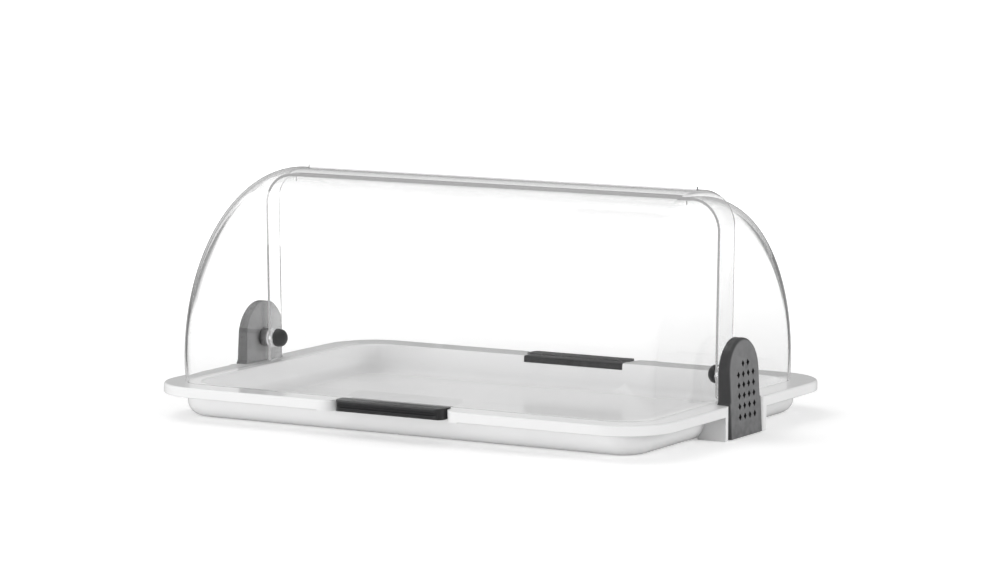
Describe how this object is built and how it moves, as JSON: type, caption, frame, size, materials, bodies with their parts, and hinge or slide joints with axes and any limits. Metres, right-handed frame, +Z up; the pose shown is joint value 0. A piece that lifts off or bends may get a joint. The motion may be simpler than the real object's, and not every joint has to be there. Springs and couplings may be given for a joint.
{
  "type": "countertop bread display bin",
  "caption": "Shallow rimmed tray with two clear, nested quarter-round covers that roll open on end brackets, and a grip set into the front and rear rim.",
  "frame": {"origin": "middle of the resting face at table height, under the middle of the tray", "axes": "+X along the length to the right as seen from the front, +Y to the rear, +Z up"},
  "size_m": [0.452, 0.3144, 0.187],
  "materials": {
    "white_plastic": "gloss white moulded plastic",
    "clear_plastic": "clear moulded plastic",
    "grey_plastic": "dark grey satin plastic",
    "black_plastic": "near-black satin plastic",
    "bright_steel": "bright plated steel"
  },
  "bodies": {
    "base": {"tray": "white_plastic", "left_bracket": "grey_plastic", "right_bracket": "grey_plastic", "left_spacer": "black_plastic", "right_spacer": "black_plastic", "left_outer_washer": "bright_steel", "right_outer_washer": "bright_steel", "left_middle_washer": "bright_steel", "right_middle_washer": "bright_steel", "left_inner_washer": "bright_steel", "right_inner_washer": "bright_steel", "left_pivot_pin": "bright_steel", "right_pivot_pin": "bright_steel", "left_knob": "black_plastic", "right_knob": "black_plastic", "left_bracket_screws": "bright_steel", "right_bracket_screws": "bright_steel", "front_grip": "black_plastic", "rear_grip": "black_plastic"},
    "front_cover_body": {"front_cover": "clear_plastic"},
    "rear_cover_body": {"rear_cover": "clear_plastic"}
  },
  "joints": [
    {"name": "front_cover_hinge", "type": "hinge", "parent": "base", "child": "front_cover_body", "pos_m": [0, 0, 0.0458], "axis": [-1, 0, 0], "range_deg": [0, 92]},
    {"name": "rear_cover_hinge", "type": "hinge", "parent": "base", "child": "rear_cover_body", "pos_m": [0, 0, 0.0458], "axis": [1, 0, 0], "range_deg": [0, 92]}
  ]
}
